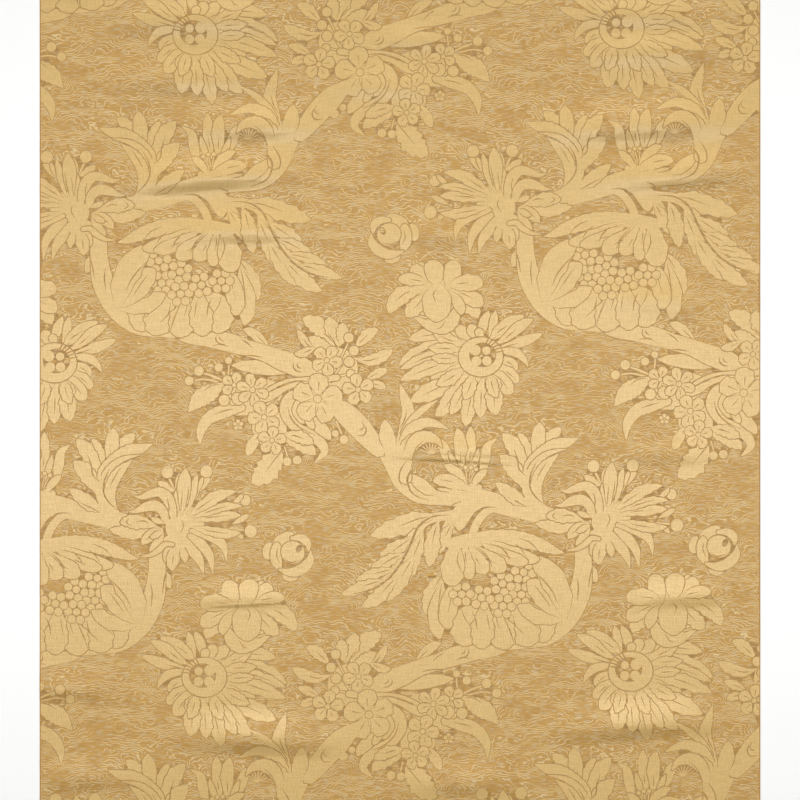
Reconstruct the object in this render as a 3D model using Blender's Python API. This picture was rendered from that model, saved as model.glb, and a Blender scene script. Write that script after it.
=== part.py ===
# A cut length of floral damask, lying face up on a flat surface with low folds across it.
# Metres, +Z up. The origin lies on the surface, under the middle of the cloth.
# X runs across the cloth along its weft, and Y along its length, towards the far end.

import math

import bmesh
import bpy

# One repeat of the pattern across the cloth is the size that the others are scaled from.
PATTERN_REPEAT = 0.343
REPEATS_ACROSS = 1.69
CLOTH_WIDTH = PATTERN_REPEAT * REPEATS_ACROSS
CLOTH_LENGTH = 0.680
CLOTH_THICKNESS = 0.001

# The net of points that carries the folds: columns across, rows closer together at a fold.
COLUMN_STEP = 0.0208
ROW_STEP_ON_A_FOLD = 0.0058
ROW_STEP_WHERE_FLAT = 0.0240

# Each fold is a low ridge that runs across the cloth and dies out at both ends.
# x and y are its middle, reach is half its length, width is half its breadth,
# lean moves its crest towards the near side, and bow bends its two ends away from the far side.
FOLD_COLUMNS = ("x", "y", "reach", "width", "height", "slant_deg", "lean", "bow")
FOLDS = {
    "far_left": (-0.160, 0.306, 0.105, 0.021, 0.0022, 1.0, 0.20, 0.003),
    "far_right": (0.190, 0.310, 0.090, 0.018, 0.0018, -1.5, 0.15, 0.002),
    "far_middle": (0.010, 0.289, 0.042, 0.015, 0.0013, 0.0, 0.20, 0.001),
    "second_right": (0.205, 0.279, 0.095, 0.018, 0.0018, 2.0, 0.20, 0.000),
    "second_left": (-0.172, 0.257, 0.100, 0.021, 0.0018, 0.5, 0.25, 0.002),
    "second_middle": (-0.012, 0.252, 0.060, 0.017, 0.0013, -1.0, 0.20, 0.001),
    "third_left": (-0.118, 0.219, 0.076, 0.020, 0.0027, 1.5, 0.30, 0.002),
    "third_right": (0.192, 0.220, 0.115, 0.022, 0.0029, 3.0, 0.30, 0.003),
    "fourth_left": (-0.158, 0.178, 0.104, 0.021, 0.0035, 4.5, 0.35, 0.003),
    "fourth_right": (0.222, 0.180, 0.090, 0.020, 0.0027, 3.5, 0.30, 0.002),
    "fifth_left": (-0.128, 0.135, 0.078, 0.018, 0.0022, 1.0, 0.30, 0.001),
    "fifth_middle": (0.028, 0.131, 0.046, 0.015, 0.0013, -2.0, 0.25, 0.001),
    "middle_right": (0.205, 0.078, 0.066, 0.017, 0.0012, -4.0, 0.20, 0.000),
    "middle_crease": (0.044, -0.042, 0.066, 0.013, 0.0013, -1.5, 0.30, 0.001),
    "right_crease": (0.214, -0.044, 0.058, 0.015, 0.0011, 1.0, 0.20, 0.000),
    "near_blossom_left": (-0.127, -0.160, 0.050, 0.013, 0.0012, 1.0, 0.30, 0.001),
    "near_blossom_right": (0.228, -0.158, 0.055, 0.014, 0.0013, 3.0, 0.20, 0.001),
    "near_edge_left": (-0.262, -0.232, 0.060, 0.018, 0.0013, -2.0, 0.20, 0.000),
    "near_left": (-0.118, -0.273, 0.094, 0.022, 0.0024, -1.0, 0.30, 0.002),
    "near_right": (0.190, -0.262, 0.092, 0.021, 0.0026, 4.0, 0.30, 0.002),
    "nearest_middle": (0.052, -0.308, 0.066, 0.018, 0.0016, 2.0, 0.20, 0.001),
    "nearest_left": (-0.258, -0.304, 0.062, 0.018, 0.0015, 2.0, 0.20, 0.000),
}


def clear_scene():
    for item in list(bpy.data.objects):
        bpy.data.objects.remove(item, do_unlink=True)


def soft_hump(share):
    """1 in the middle and 0 from share 1 outwards, with no edge where it starts."""
    if abs(share) >= 1.0:
        return 0.0
    return math.cos(share * math.pi / 2) ** 2


def fold_height(fold, x, y):
    """How far one fold lifts the cloth at x, y."""
    slant = math.radians(fold["slant_deg"])
    along = (x - fold["x"]) * math.cos(slant) + (y - fold["y"]) * math.sin(slant)
    across = (y - fold["y"]) * math.cos(slant) - (x - fold["x"]) * math.sin(slant)
    along_share = along / fold["reach"]
    across += fold["bow"] * along_share**2
    side = 1 + fold["lean"] if across > 0 else 1 - fold["lean"]
    return fold["height"] * soft_hump(along_share) * soft_hump(across / (fold["width"] * side))


def cloth_height(folds, x, y):
    """The height of the cloth's underside, which is 0 where it lies on the surface."""
    return sum(fold_height(fold, x, y) for fold in folds)


def evenly(length, step):
    """Places from one end of a length to the other, about a step apart, with 0 in the middle."""
    count = round(length / step)
    return [length * (i / count - 0.5) for i in range(count + 1)]


def row_places(folds):
    """Rows along the cloth, close together wherever a fold lies."""
    low, high = -CLOTH_LENGTH / 2, CLOTH_LENGTH / 2
    places = [low]
    while places[-1] < high:
        here = places[-1] + ROW_STEP_ON_A_FOLD / 2
        on_a_fold = any(abs(here - fold["y"]) < fold["width"] + ROW_STEP_ON_A_FOLD for fold in folds)
        next_fold = min((fold["y"] - fold["width"] - here for fold in folds if fold["y"] > here), default=high)
        flat_step = max(ROW_STEP_ON_A_FOLD, min(ROW_STEP_WHERE_FLAT, next_fold))
        places.append(places[-1] + (ROW_STEP_ON_A_FOLD if on_a_fold else flat_step))
    stretch = CLOTH_LENGTH / (places[-1] - low)
    return [low + (place - low) * stretch for place in places]


def cloth_net(folds):
    """The underside of the cloth as one net of four-sided faces."""
    net = bmesh.new()
    columns = evenly(CLOTH_WIDTH, COLUMN_STEP)
    rows = row_places(folds)
    points = [[net.verts.new((x, y, cloth_height(folds, x, y))) for x in columns] for y in rows]
    for near, far in zip(points, points[1:]):
        for i in range(len(columns) - 1):
            net.faces.new((near[i], near[i + 1], far[i + 1], far[i]))
    bmesh.ops.recalc_face_normals(net, faces=net.faces)
    if sum(face.normal.z for face in net.faces) < 0:
        bmesh.ops.reverse_faces(net, faces=net.faces)
    mesh = bpy.data.meshes.new("cloth_net")
    net.to_mesh(mesh)
    net.free()
    return mesh


def damask_material():
    """Gold silk damask: the mean of its pale satin figure and its deeper ribbed ground."""
    material = bpy.data.materials.new("gold_damask")
    material.use_nodes = True
    shader = material.node_tree.nodes["Principled BSDF"]
    shader.inputs["Base Color"].default_value = (0.64, 0.43, 0.18, 1.0)
    shader.inputs["Roughness"].default_value = 0.55
    shader.inputs["Metallic"].default_value = 0.0
    return material


def make_cloth(folds):
    cloth = bpy.data.objects.new("cloth", cloth_net(folds))
    bpy.context.scene.collection.objects.link(cloth)
    cloth.data.shade_smooth()
    cloth.data.materials.append(damask_material())
    # The net is the underside, so the whole thickness is added above it.
    thickness = cloth.modifiers.new("thickness", "SOLIDIFY")
    thickness.thickness = CLOTH_THICKNESS
    thickness.offset = 1.0
    return cloth


clear_scene()
make_cloth([dict(zip(FOLD_COLUMNS, row)) for row in FOLDS.values()])
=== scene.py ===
import math

import bpy
import numpy as np
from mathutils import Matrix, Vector
from mathutils.geometry import delaunay_2d_cdt
from mathutils.kdtree import KDTree


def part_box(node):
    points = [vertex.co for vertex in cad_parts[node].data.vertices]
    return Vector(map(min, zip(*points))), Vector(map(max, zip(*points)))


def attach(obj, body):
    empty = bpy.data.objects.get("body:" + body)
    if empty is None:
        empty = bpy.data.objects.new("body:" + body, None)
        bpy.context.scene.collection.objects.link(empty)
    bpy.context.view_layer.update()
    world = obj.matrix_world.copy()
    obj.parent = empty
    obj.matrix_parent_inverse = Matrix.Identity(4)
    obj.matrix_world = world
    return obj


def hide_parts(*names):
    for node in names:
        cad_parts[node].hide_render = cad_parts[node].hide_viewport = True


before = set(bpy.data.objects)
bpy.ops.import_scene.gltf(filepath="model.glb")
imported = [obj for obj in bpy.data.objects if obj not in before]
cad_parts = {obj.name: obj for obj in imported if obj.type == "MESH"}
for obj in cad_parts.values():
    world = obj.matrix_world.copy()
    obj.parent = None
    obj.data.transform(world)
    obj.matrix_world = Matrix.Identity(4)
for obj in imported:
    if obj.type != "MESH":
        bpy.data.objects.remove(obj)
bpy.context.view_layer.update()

# The cloth is worked out in millimetres, and the scene is in metres.
mm = 0.001

# The cloth lies as its CAD solid does. All are in mm, but for the slant in degrees and the lean,
# a share of the width.
foldNames = ("x", "y", "reach", "width", "height", "slant", "lean", "bow")
folds = {
    "farLeft": (-160, 306, 105, 21, 2.2, 1, 0.2, 3),
    "farRight": (190, 310, 90, 18, 1.8, -1.5, 0.15, 2),
    "farMiddle": (10, 289, 42, 15, 1.3, 0, 0.2, 1),
    "secondRight": (205, 279, 95, 18, 1.8, 2, 0.2, 0),
    "secondLeft": (-172, 257, 100, 21, 1.8, 0.5, 0.25, 2),
    "secondMiddle": (-12, 252, 60, 17, 1.3, -1, 0.2, 1),
    "thirdLeft": (-118, 219, 76, 20, 2.7, 1.5, 0.3, 2),
    "thirdRight": (192, 220, 115, 22, 2.9, 3, 0.3, 3),
    "fourthLeft": (-158, 178, 104, 21, 3.5, 4.5, 0.35, 3),
    "fourthRight": (222, 180, 90, 20, 2.7, 3.5, 0.3, 2),
    "fifthLeft": (-128, 135, 78, 18, 2.2, 1, 0.3, 1),
    "fifthMiddle": (28, 131, 46, 15, 1.3, -2, 0.25, 1),
    "middleRight": (205, 78, 66, 17, 1.2, -4, 0.2, 0),
    "middleCrease": (44, -42, 66, 13, 1.3, -1.5, 0.3, 1),
    "rightCrease": (214, -44, 58, 15, 1.1, 1, 0.2, 0),
    "nearBlossomLeft": (-127, -160, 50, 13, 1.2, 1, 0.3, 1),
    "nearBlossomRight": (228, -158, 55, 14, 1.3, 3, 0.2, 1),
    "nearEdgeLeft": (-262, -232, 60, 18, 1.3, -2, 0.2, 0),
    "nearLeft": (-118, -273, 94, 22, 2.4, -1, 0.3, 2),
    "nearRight": (190, -262, 92, 21, 2.6, 4, 0.3, 2),
    "nearestMiddle": (52, -308, 66, 18, 1.6, 2, 0.2, 1),
    "nearestLeft": (-258, -304, 62, 18, 1.5, 2, 0.2, 0),
}
# Sharp creases, too fine for the solid, in the same columns.
creases = {
    "acrossTheTrunk": (48, -48.7, 58, 3, 0.75, -3.7, 0.3, 1),
    "underTheFeatherLeaf": (26, -141.5, 9, 2, 0.55, 6, 0.3, 0),
    "acrossTheBlossom": (-129, -165, 34, 2.4, 0.45, 3, 0.3, 0),
}

cloth = {
    "thickness": 1,  # mm, as the solid is
    "netStep": 5.5,  # mm between the sheet's plain points
    "creaseStep": 0.8,  # mm between points across a sharp crease
    "creaseAlong": 3,  # mm between points along one
    "creaseSpan": (1.4, 1.5),  # its widths that those points cover on its near and far side
    "cutEdge": 0.8,  # mm of bare thread ends along a cut, darkened also as painted shade along the edge
    "margin": (3, 2),  # mm from the cut edges to the first and the last plain points
    "weld": 0.01,  # mm, points closer than this are one
    "leastBend": 0.09,  # mm that an outline may be simplified by
    "leastIsland": 0.5,  # square mm, the smallest island of satin or ground that is kept
    "slopeStep": 0.2,  # mm over which the slope of a fold is read
}

pattern = {
    "gap": 0.8,  # mm of ground that shows round a petal where it lies on another
    "corner": (0.6, 1.6),  # these keep that gap from running far out at a sharp corner
    "merge": 0.4,  # the share of a petal's length from its root over which that gap closes
    "unevenEdge": 0.06,  # how much of its breadth a petal's edges wander
    "waves": 2.6,  # how often they do, from its root to its tip
    "tooth": (0.06, -0.16),  # how far out a toothed edge's tips and notches are, as a share
    "notch": 0.45,  # how close behind its tooth's tip a notch lies, in steps along the edge
    "toothed": 0.6,  # edges with deeper teeth than this have more points
    "sway": 0.05,  # how much of its length a petal's tip may sway
    "vein": ((0, 0.3), (0.35, 0.9), (1, 0.2)),  # shares of a petal's vein, and its width in mm there
    "veinWidth": (1, 0.3),  # mm, in the middle and at the ends, where none is given
    "taper": 0.5,  # mm, a band's end where none is given
    "narrowest": 0.05,  # mm, for a band
    "rounded": 2,  # mm, an end as wide as this is rounded
    "tilt": 0.8,  # degrees that the pattern is turned on the cloth
    "star": (85.3, 157.0),  # mm, the star flower's knob in an upright row
    "mirroredStar": (161.8, -96.6),  # mm, the same in a mirrored row
    "across": (342.9, 4.8),  # mm from a cluster to the next one in its row
    "along": (7.2, -516.8),  # mm from a row to the next of its kind
}


def heading(degrees):
    angle = math.radians(degrees)
    return math.cos(angle), math.sin(angle)


def softHump(share):
    # 1 in the middle and 0 from share 1 outwards, with no edge where it starts
    return np.where(np.abs(share) < 1, np.cos(np.clip(share, -1, 1) * math.pi / 2) ** 2, 0.0)


def lift(x, y, rows):
    # how far these folds lift the cloth at x, y
    total = np.zeros_like(x)
    for row in rows:
        fold = dict(zip(foldNames, row))
        c, s = heading(fold["slant"])
        along = (x - fold["x"]) * c + (y - fold["y"]) * s
        across = (y - fold["y"]) * c - (x - fold["x"]) * s
        share = along / fold["reach"]
        across = across + fold["bow"] * share**2
        side = np.where(across > 0, 1 + fold["lean"], 1 - fold["lean"])
        total += fold["height"] * softHump(share) * softHump(across / (fold["width"] * side))
    return total


def clothLift(x, y):
    return lift(x, y, folds.values()) + lift(x, y, creases.values())


# What follows draws the pattern. Each shape covers those before it, satin or ground.
shapes = []


def grown(outline, gaps):
    # the outline moved outwards, by a gap for each of its points
    least, most = pattern["corner"]
    out = []
    around = zip(outline[-1:] + outline[:-1], outline, outline[1:] + outline[:1], gaps)
    for before, here, after, by in around:
        ux, uy = here[0] - before[0], here[1] - before[1]
        vx, vy = after[0] - here[0], after[1] - here[1]
        u, v = math.hypot(ux, uy) or 1, math.hypot(vx, vy) or 1
        nx, ny = uy / u + vy / v, -ux / u - vx / v
        long = max(math.hypot(nx, ny), least)
        reach = by * min(2 / long, most) / long
        out.append((here[0] + nx * reach, here[1] + ny * reach))
    return out


def lay(outline, gap=pattern["gap"], satin=True, merge=None):
    # merge is how much of the gap each point has, so that the gap can close towards a root
    gaps = [gap * share for share in merge or [1] * len(outline)]
    turn = sum(ax * by - bx * ay for (ax, ay), (bx, by) in zip(outline, outline[1:] + outline[:1]))
    if turn < 0:
        outline, gaps = outline[::-1], gaps[::-1]
    if gap and satin:
        shapes.append((grown(outline, gaps), False))
    shapes.append((outline, satin))


def chance(x, y):
    # a number from 0 to 1 that a place always gives again
    return math.sin(x * 12.9898 + y * 78.233) * 43758.5453 % 1


def fullness(t, belly, sharp):
    # a petal's breadth from root to tip: widest at belly, pointed where sharp is 1 and round at a half
    if t <= 0 or t >= 1:
        return 0.0
    return (t / belly) ** (sharp * belly / (1 - belly)) * ((1 - t) / (1 - belly)) ** sharp


def notched(i, teeth):
    # how far an edge stands out at its point i, the tip of a tooth or the notch after it
    return 1 + teeth * pattern["tooth"][i % 2]


def petal(x0, y0, x1, y1, width, bend=0.0, belly=0.55, sharp=0.7, vein=None, gap=pattern["gap"], steps=11,
          teeth=0.3):
    dx, dy = x1 - x0, y1 - y0
    sway = pattern["sway"] * (chance(x0, y1) - 0.5)
    phases = chance(x1, y1), chance(x1, y0)

    def middle(t):
        bow = 4 * bend * t * (1 - t) + sway * math.sin(2 * math.pi * t)
        return x0 + dx * t - dy * bow, y0 + dy * t + dx * bow

    left, right, merge = [], [], []
    nearby = 0.01  # of its length, over which its direction is read
    steps += 4 * (teeth > pattern["toothed"])
    for i in range(steps + 1):
        notch = pattern["notch"] * teeth * (i % 2)
        t = 0.5 - 0.5 * math.cos(math.pi * max(0, i - notch) / steps)
        mx, my = middle(t)
        ax, ay = middle(max(0.0, t - nearby))
        bx, by = middle(min(1.0, t + nearby))
        half = width / 2 * fullness(t, belly, sharp) / math.hypot(bx - ax, by - ay)
        for side, turn, phase in ((left, 1, phases[0]), (right, -1, phases[1])):
            wave = 1 + pattern["unevenEdge"] * math.sin(2 * math.pi * (pattern["waves"] * t + phase))
            out = turn * half * wave * notched(i, teeth)
            side.append((mx - (by - ay) * out, my + (bx - ax) * out))
        merge.append(min(1, t / pattern["merge"]))
    lay(right + left[-2:0:-1], gap, True, merge + merge[-2:0:-1])
    if vein:
        a, b = vein
        veins([(*middle(a + (b - a) * share), wide) for share, wide in pattern["vein"]])


def petals(rows, belly=0.55, sharp=0.7, **style):
    # a row may leave out bend, belly and sharp, the last two or none
    for row in rows:
        petal(*row, *(0.0, belly, sharp)[len(row) - 5:], **style)


def smoothRow(rows, steps):
    # a smooth curve through rows of x, y, width
    first = tuple(2 * a - b for a, b in zip(rows[0], rows[1]))
    last = tuple(2 * a - b for a, b in zip(rows[-1], rows[-2]))
    rows = [first, *rows, last]
    out = []
    for before, here, after, later in zip(rows, rows[1:], rows[2:], rows[3:]):
        for i in range(steps):
            t = i / steps
            row = []
            for a, b, c, d in zip(before, here, after, later):
                curve = (2 * a - 5 * b + 4 * c - d) * t**2 + (3 * b - a - 3 * c + d) * t**3
                row.append(0.5 * (2 * b + (c - a) * t + curve))
            out.append(row)
    return out + [list(rows[-2])]


def band(*rows, gap=pattern["gap"], satin=True, steps=5, teeth=0):
    # a stem, a curled leaf or a drawn line along rows of x, y, width
    run = smoothRow([(*row, pattern["taper"])[:3] for row in rows], steps)
    left, right = [], []
    for i, (x, y, width) in enumerate(run):
        ax, ay, _ = run[max(0, i - 1)]
        bx, by, _ = run[min(len(run) - 1, i + 1)]
        half = max(width, pattern["narrowest"]) / 2 / (math.hypot(bx - ax, by - ay) or 1)
        for side, out in ((left, half * notched(i, teeth)), (right, -half * notched(i + 1, teeth))):
            side.append((x - (by - ay) * out, y + (bx - ax) * out))
    lay(right + roundEnd(run[-1], run[-2]) + left[::-1] + roundEnd(run[0], run[1]), gap, satin)


def roundEnd(end, inner):
    x, y, width = end
    if width < pattern["rounded"]:
        return []
    angle = math.atan2(y - inner[1], x - inner[0])
    turns = [angle + share * math.pi for share in (-0.3, 0, 0.3)]
    return [(x + width / 2 * math.cos(turn), y + width / 2 * math.sin(turn)) for turn in turns]


def veins(*runs):
    # each is a thin line of ground over the satin
    middle, end = pattern["veinWidth"]
    for first, *rows, last in runs:
        rows = [(*first, end), *((*row, middle) for row in rows), (*last, end)]
        band(*(row[:3] for row in rows), satin=False, steps=3)


def ball(x, y, radius, high=None, turn=0, gap=pattern["gap"], satin=True, points=12):
    c, s = heading(turn)
    ring = []
    for i in range(points):
        u = radius * math.cos(2 * math.pi * i / points)
        v = (high or radius) * math.sin(2 * math.pi * i / points)
        ring.append((x + u * c - v * s, y + u * s + v * c))
    lay(ring, gap, satin)


def roundFlower(x, y, radius, count=5, turn=0.0, wide=0.9, heart=0.16, sharp=0.66):
    root = heart * radius * 0.6
    width = radius * wide * 4.25 / count
    near, far = 0.3 * radius, 0.66 * radius  # where a large flower's veins start and end
    for i in range(count):
        c, s = heading(turn + 360 * i / count)
        petal(x + root * c, y + root * s, x + radius * c, y + radius * s, width, 0, 0.66, sharp,
              gap=0.7, steps=8, teeth=0.6)
        if radius > 9:
            veins(((x + near * c, y + near * s), (x + far * c, y + far * s, 0.9)))
    ball(x, y, radius * heart, gap=0.6, points=8)


def berries(x, y, radius, turn=0.0):
    # six of them round a smaller one
    style = {"gap": 0.65, "points": 9}
    apart = radius * 2.05
    for i in range(6):
        c, s = heading(turn + 60 * i)
        ball(x + apart * c, y + apart * s, radius, **style)
    ball(x, y, radius * 0.9, **style)


# The motifs of one cluster, in millimetres from the star flower's knob, as they lie in an upright row.
def starFlower():
    for stem in (((-25, 39, 1.5), (-19, 27, 1.9), (-10, 11, 2.4)),
            ((5, 40, 1.5), (1, 31, 1.9), (-3, 12, 2.4)), ((-57, -4, 1.4), (-46, -3, 1.6), (-20, -1, 1.6)),
            ((-56, 19, 1.4), (-46, 17, 1.6), (-20, 8, 1.6))):
        band(*stem, gap=0.6)
    for x, y, radius in ((5.5, 43.5, 4.8), (-26, 43.5, 4.9), (-61, -5, 5), (-57, 20, 4.2)):
        ball(x, y, radius, radius * 1.05)
    petals([(-1, 28, 13, 36, 6.5, -0.05), (-18, 26, -29, 38, 5.5, -0.05), (-18, 26, -23, 39, 3.6),
        (-46, 1, -60, 8, 4.5), (-46, 15, -55, 25, 4), (-48, -4, -55, -11, 4)], 0.6, 0.7)
    petal(-3, 26, -5, 42.5, 6.6, belly=0.55, sharp=0.5)
    ball(-9, 3, 15, 13, 0, gap=0, points=16)
    # the lower petals hang from a calyx under the knob
    petals([(-3, -13, -8, -30, 6.5, -0.05), (5, -13, 8, -29, 6)], 0.6, 0.8)
    petal(-1, -12, 2.5, -36, 10.5, 0.03, 0.6, 0.8, vein=(0.5, 0.8))
    band((-9, -12, 5), (-15, -21, 8.5), (-20, -29, 6), (-22.5, -39))
    band((-12, -8, 4), (-21, -15, 8), (-27.5, -24, 6.5), (-29, -31, 4), (-30, -39))
    band((-13, -4, 3), (-26, -7.5, 7.5), (-36, -13, 7.5), (-40, -20, 4.5), (-41, -29))
    ball(0, -13, 11, 6.5, gap=0)
    petals([(-11, -1, -53, -6, 8.5, 0.04), (-12, 3, -53, 8, 9, -0.04), (-12, 6, -54, 15, 7, -0.06)], 0.6,
        0.78, vein=(0.3, 0.75), teeth=0.9)
    petal(-10, 7, -50, 27, 10, -0.08, 0.55, 0.9, vein=(0.2, 0.6), teeth=0.8)
    petals([(-9, 9, -18.5, 42, 5.5, 0.03), (-2, 8, -2, 30, 5), (-5, 7, -9.5, 46.5, 11, 0.01, 0.62, 0.8)],
        0.62, 0.8)
    veins(((-11.5, 31), (-10.5, 22, 0.9), (-8, 12)), ((-6.5, 27), (-5.5, 19, 0.8), (-5, 12)))
    # the leaves on the right curl over
    band((1, 7, 5), (2.5, 15, 7.5), (6, 23, 9), (12, 27.5, 7.5), (20, 26, 6), (27, 23.5, 3.5), (33, 25))
    veins(((6, 8), (4.5, 15, 0.9), (6, 22)))
    band((7, 4, 5), (10, 12, 8), (16, 16.5, 8.5), (24, 15.5, 7), (31, 12.5, 3.5), (37, 12))
    veins(((11, 4), (12.5, 9, 0.9), (16, 13)))
    petal(11, -2, 53, -2, 12, -0.06, 0.55, 0.85, teeth=0.9)
    petal(14, 0, 44, 3.5, 11.5, 0.06, 0.6, 0.7, teeth=0.7)
    veins(((21, 2.5), (25, 4.5, 0.9), (31, 4)), ((35, 0.5), (39, 3.5), (37, 6.5)))
    petal(10, -3, 27, -15, 9, 0.1, 0.5, 0.8, vein=(0.25, 0.8))
    petal(9, -5, 21, -20, 7, -0.05, 0.55, 0.8)
    band((2, -15, 3), (8, -14.5, 4), (13, -19, 4.5), (20, -23, 3), (28, -24))
    petals([(9, -4, 20, -9, 5), (9, 2, 19, 7, 4.5)])
    ball(-0.5, -1.5, 8.2, 8.8, 10, gap=0, points=14)
    veins(((-5.5, 5), (-7, 0, 0.9), (-4, -6)))


def upperBranch():
    band((12, -4, 6), (30, 0, 12), (50, 6, 15), (75, 12, 15), (100, 19, 16), (125, 20.5, 14),
        (145, 22, 13), (158, 32, 15), (165, 45, 15), (169, 56, 17), (173, 64, 14))
    band((96, 17, 8), (108, 9, 16), (116, 1, 16), (124, -7, 10), (128, -12, 4), gap=0)
    band((80, 12, 5), (92, 8, 6), (100, -1, 6.5), (105, -14, 6), gap=0)
    veins(((84, 11.5), (93, 11.5, 1.2), (101, 7, 1.8), (108, -3, 1.8), (114, -10, 1)),
        ((114, -8), (117, -6, 1.8), (118, -3)), ((112, 17), (119, 14), (123, 10, 0.9), (132, 9.5)))


def palmette():
    petal(45, 54, 31, 74.5, 11, -0.12, 0.55, 0.8, teeth=0.7)
    petal(53, 49, 48.5, 79.5, 11.5, 0.02, 0.6, 0.75, vein=(0.1, 0.4))
    petals([(57, 46, 65.5, 71, 9, 0.06, 0.62, 0.75), (59, 36, 78.5, 71, 13, 0.07, 0.62, 0.8),
        (60, 23, 81, 53.5, 14, 0.08, 0.6, 0.85), (57, 12, 85, 31.5, 11.5, -0.02, 0.5, 0.9)], teeth=0.7)
    band((59, 34, 5), (57, 45, 8), (47, 55.5, 8.5), (36, 61, 10), (26, 63, 7.5), (16.5, 66.5),
        teeth=0.5)
    band((58, 22, 5), (57.5, 33, 5.5), (54, 44, 6), (45, 52.5, 5), (36, 56, 3), (27, 57.5), teeth=0.5)
    band((51, 15, 9), (52, 25, 9), (50, 35, 9.5), (43.5, 45, 8), (33.5, 54), teeth=0.5)
    band((50, 8, 14), (56, 19, 11), (60, 29, 7), (60, 40, 4), gap=0)
    veins(((46, 13.5), (53, 20, 1.2), (57, 28, 1.2), (56, 38, 1.2), (51.5, 47)),
        ((43, 47.5), (48, 40, 0.9), (51.5, 33)), ((60, 36.5), (65.5, 42, 1.1), (66.5, 50), (69.5, 58)),
        ((61, 19.5), (66, 25, 1.1), (71.5, 30.5)), ((60, 11.5), (67, 15.5), (76, 20)))


def tulip():
    band((101, 31, 2), (95, 40, 5), (92.5, 51, 8), (90.5, 61, 6), (83, 66.5))
    petals([(108, 38, 104, 77, 9, 0.04), (116, 38, 127.5, 67, 9, -0.02)], 0.62, 0.75, vein=(0.3, 0.5))
    petal(111, 38, 115, 75.5, 10.5, 0.02, 0.62, 0.7, vein=(0.25, 0.5))
    petals([(104, 36, 98, 59, 5), (113, 36, 122, 57, 5)], sharp=0.8)
    for i in range(7):  # stamens, each with its dot of pollen
        c, s = heading(48 + 18 * i)
        x, y = 107 + 14 * c, 31 + 13 * s
        band((107, 29, 0.9), (x, y, 0.9), gap=0.6, steps=2)
        ball(x, y, 1.7, gap=0.6, points=8)
    petals([(103, 26, 91, 42, 6.5, -0.1), (107, 27, 126, 46, 8, 0.12)], 0.6, 0.75)
    petal(104, 24, 136, 34, 11, 0.1, 0.6, 0.75, vein=(0.5, 0.8))
    for i in range(5):  # small bumps along the branch
        ball(98 + 4.8 * i, 27.6 + 0.6 * (i % 2), 2.5, gap=0, points=9)
    petal(130, 23, 155, 39, 10, -0.05, 0.5, 0.9)
    veins(((122, 24), (131, 26, 1.4), (136, 32, 2), (133, 38, 1)))
    for i in range(8):  # stamens that fan out under the curled leaf
        c, s = heading(24 + 19 * i)
        band((136, 55, 0.8), (136 + 9.5 * c, 55 + 9.5 * s, 0.8), gap=0, steps=2)


def trunkTop():
    # the stem that comes down from the row above, then the leaves at the joint
    band((215, 97, 10), (205, 89, 17), (194, 78, 18), (184, 66, 15), (178, 59, 12))
    veins(((192, 82), (188, 76, 1.1), (190, 71, 1.1), (196, 71)), ((190, 79), (191, 76), (194, 75)))
    band((160, 64, 8), (156, 77, 11), (154, 90, 10), (157, 101, 7), (160.5, 112), teeth=0.5)
    veins(((155, 91), (157, 83, 1.1), (161, 76)))
    band((159, 72, 3), (152, 82, 5), (142, 91, 5), (130, 98.5))
    band((160, 64, 5), (152, 75, 9), (140, 80.5, 8), (130, 78.5, 5), (122, 75), teeth=0.5)
    band((157, 36, 10), (157.5, 52, 13), (152, 63.5, 13), (141, 69, 10), (132, 66.5, 6), (127, 60),
        teeth=0.5)
    petal(170, 57, 173, 83, 12, 0, 0.5, 0.75)
    band((163, 44, 16), (166, 58, 14), (165, 68, 5), gap=0)
    veins(((144, 48), (152, 42, 1.5), (155.5, 34, 1.6), (151, 23, 1.2), (138, 17.5)),
        ((142, 66), (148, 60, 0.9), (152, 50)), ((156, 50), (161, 42, 1.1), (162, 35, 1.1), (160, 30)),
        ((139, 74.5), (148, 73, 1.1), (155, 66.5), (158, 57)), ((163.5, 80), (164, 72, 1.2), (164, 62)))


def featherLeaf():
    band((100, 12, 6), (120, 6, 7), (138, 3, 8), (148, -5, 9), (154, -19, 10), (161, -32, 10),
        (172, -45, 8), (186, -54, 5), gap=0)
    # lobes above the midrib, then those below it
    petals([(130, 5, 186, -10, 16, 0.03), (151, -11, 178, -36, 13, 0.08),
        (157, -25, 189, -42, 10.5, 0.06), (165, -37, 198, -46, 8.5, 0.04)], 0.57, 0.8, vein=(0.15, 0.6),
        teeth=1)
    petals([(118, 1, 130, -25, 9.5, 0.06), (130, 2, 139, -36, 13, 0.04), (143, -6, 159, -51, 14, 0.02),
        (151, -25, 174, -63, 14, -0.02), (163, -42, 194, -67, 12, -0.05),
        (174, -46, 210, -57, 9.5, 0.02)], 0.57, 0.8, vein=(0.15, 0.5), teeth=0.9)
    veins(((122, 6), (136, 4.5, 1.2), (147, -3, 1.7), (153, -16, 1.8), (160, -30, 1.6), (171, -44, 1.5),
        (184, -53, 1.2), (200, -56.5)))


def crescentStem():
    petal(12, -30, 4, -50, 9, 0.05, 0.6, 0.9)
    band((15, -22, 13), (15, -38, 14), (18, -58, 17), (28, -78, 17), (44, -92, 15), (62, -98, 9),
        (78, -102, 3))
    veins(((20, -46), (19, -54, 1.1), (20, -65)), ((7, -35), (9.5, -45, 1.1), (11, -55)))


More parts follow.
